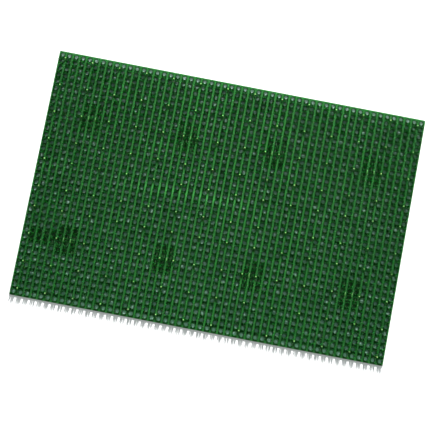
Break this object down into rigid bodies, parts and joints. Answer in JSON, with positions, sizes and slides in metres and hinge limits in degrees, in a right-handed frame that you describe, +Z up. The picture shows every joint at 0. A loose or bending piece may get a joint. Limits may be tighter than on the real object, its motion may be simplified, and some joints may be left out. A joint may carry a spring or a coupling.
{
  "type": "scraper door mat",
  "caption": "Rectangular moulded plastic scraper mat: a drained sheet with rows of upright grass-like hollow tufts, slim pins between them, a low rim and short floor pegs.",
  "frame": {"origin": "on the floor, under the centre of the mat", "axes": "+X along the mat's long side, +Y towards its back edge, +Z up, the way the tufts point"},
  "size_m": [0.6, 0.4, 0.0164],
  "materials": {
    "tufts": "semi-matt natural polyethylene, green",
    "sheet": "smooth satin polyethylene, green",
    "rim": "smooth satin polyethylene, green",
    "pins": "satin polyethylene, lighter green at the tips",
    "underside": "fine-eroded matt polyethylene, green"
  },
  "bodies": {
    "root": {"base_sheet": "sheet", "blank_plate": "underside", "floor_pegs": "underside", "gate_nubs": "pins", "gate_pads": "underside", "rim_back": "rim", "rim_front": "rim", "rim_left": "rim", "rim_right": "rim", "scraper_pins": "pins", "tuft_row_01": "tufts", "tuft_row_02": "tufts", "tuft_row_03": "tufts", "tuft_row_04": "tufts", "tuft_row_05": "tufts", "tuft_row_06": "tufts", "tuft_row_07": "tufts", "tuft_row_08": "tufts", "tuft_row_09": "tufts", "tuft_row_10": "tufts", "tuft_row_11": "tufts", "tuft_row_12": "tufts", "tuft_row_13": "tufts", "tuft_row_14": "tufts", "tuft_row_15": "tufts", "tuft_row_16": "tufts", "tuft_row_17": "tufts", "tuft_row_18": "tufts", "tuft_row_19": "tufts", "tuft_row_20": "tufts", "tuft_row_21": "tufts", "tuft_row_22": "tufts", "tuft_row_23": "tufts", "tuft_row_24": "tufts", "tuft_row_25": "tufts", "tuft_row_26": "tufts", "tuft_row_27": "tufts", "tuft_row_28": "tufts", "tuft_row_29": "tufts", "tuft_row_30": "tufts", "tuft_row_31": "tufts", "tuft_row_32": "tufts", "tuft_row_33": "tufts", "tuft_row_34": "tufts", "tuft_row_35": "tufts", "tuft_row_36": "tufts"}
  },
  "joints": []
}
